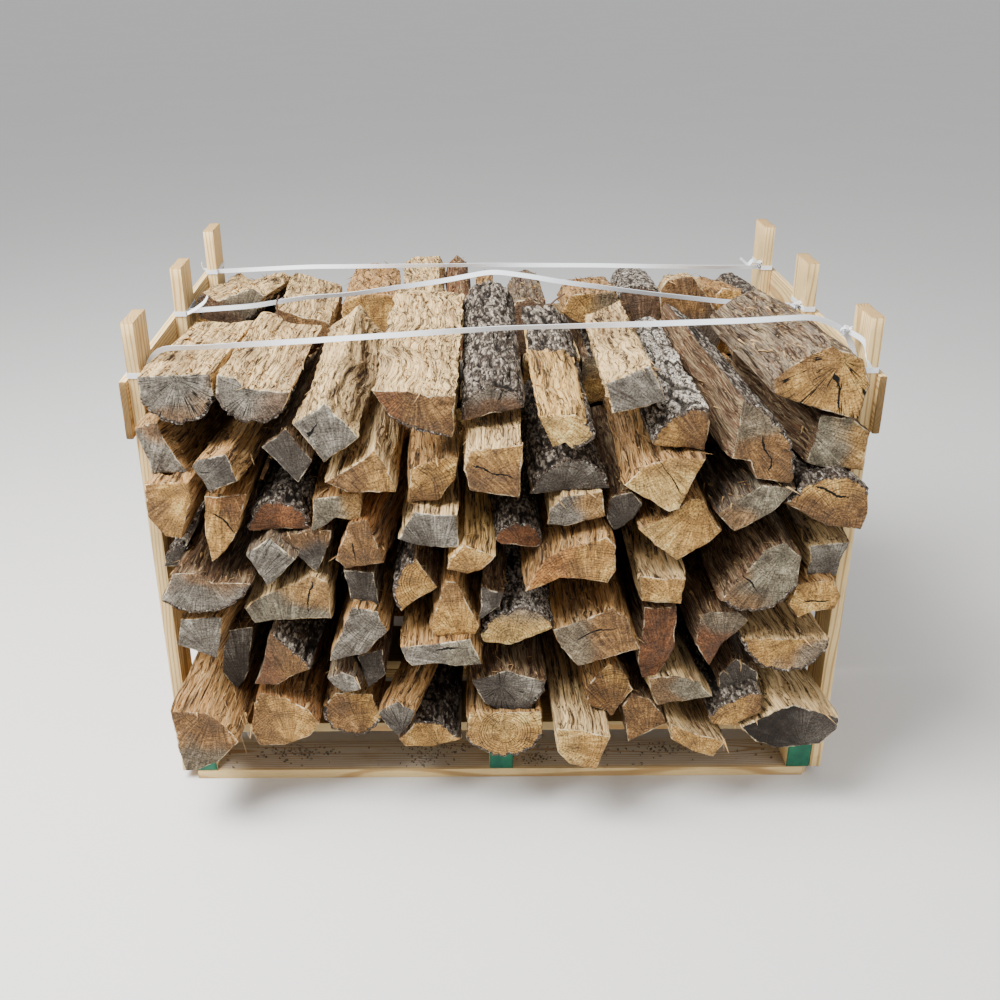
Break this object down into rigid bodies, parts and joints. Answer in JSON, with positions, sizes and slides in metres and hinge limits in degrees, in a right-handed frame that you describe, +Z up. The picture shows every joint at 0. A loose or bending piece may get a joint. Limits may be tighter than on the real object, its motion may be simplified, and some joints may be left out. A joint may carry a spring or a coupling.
{
  "type": "crate of firewood",
  "caption": "Low slatted pallet crate with corner and middle posts, filled with split firewood in two rows and held by flat straps across the top.",
  "frame": {"origin": "centre of the underside of the middle bottom board, on the ground", "axes": "X along the long side of the crate, Y from the front to the back, Z up"},
  "size_m": [1.2458, 0.99, 0.902],
  "materials": {
    "pine": "sawn and unfinished",
    "firewood": "split and weathered",
    "strap": "flat white band"
  },
  "bodies": {
    "root": {"bottom_board_front": "pine", "bottom_board_middle": "pine", "bottom_board_back": "pine", "stringer_left": "pine", "stringer_middle": "pine", "stringer_right": "pine", "deck_board_1": "pine", "deck_board_2": "pine", "deck_board_3": "pine", "deck_board_4": "pine", "post_left_front": "pine", "post_left_middle": "pine", "post_left_back": "pine", "post_right_front": "pine", "post_right_middle": "pine", "post_right_back": "pine", "side_plank_left": "pine", "side_plank_right": "pine", "strap_front": "strap", "strap_middle": "strap", "strap_back": "strap", "half_round_01": "firewood", "half_round_02": "firewood", "square_split_03": "firewood", "quarter_split_04": "firewood", "round_log_05": "firewood", "split_log_06": "firewood", "square_split_07": "firewood", "wedge_split_08": "firewood", "half_round_09": "firewood", "large_split_10": "firewood", "split_11": "firewood", "square_split_12": "firewood", "wedge_split_14": "firewood", "split_15": "firewood", "square_split_16": "firewood", "half_round_17": "firewood", "wedge_split_18": "firewood", "split_19": "firewood", "quarter_split_20": "firewood", "split_22": "firewood", "wedge_split_23": "firewood", "half_round_24": "firewood", "split_26": "firewood", "round_log_28": "firewood", "split_29": "firewood", "square_split_30": "firewood", "horn_split_36": "firewood", "half_round_38": "firewood", "half_round_40": "firewood", "wedge_split_42": "firewood", "slab_split_44": "firewood", "half_round_46": "firewood", "quarter_split_47": "firewood", "half_round_55": "firewood", "split_56": "firewood", "large_split_61": "firewood", "round_log_66": "firewood", "split_67": "firewood", "small_splits_and_back_row": "firewood"}
  },
  "joints": []
}
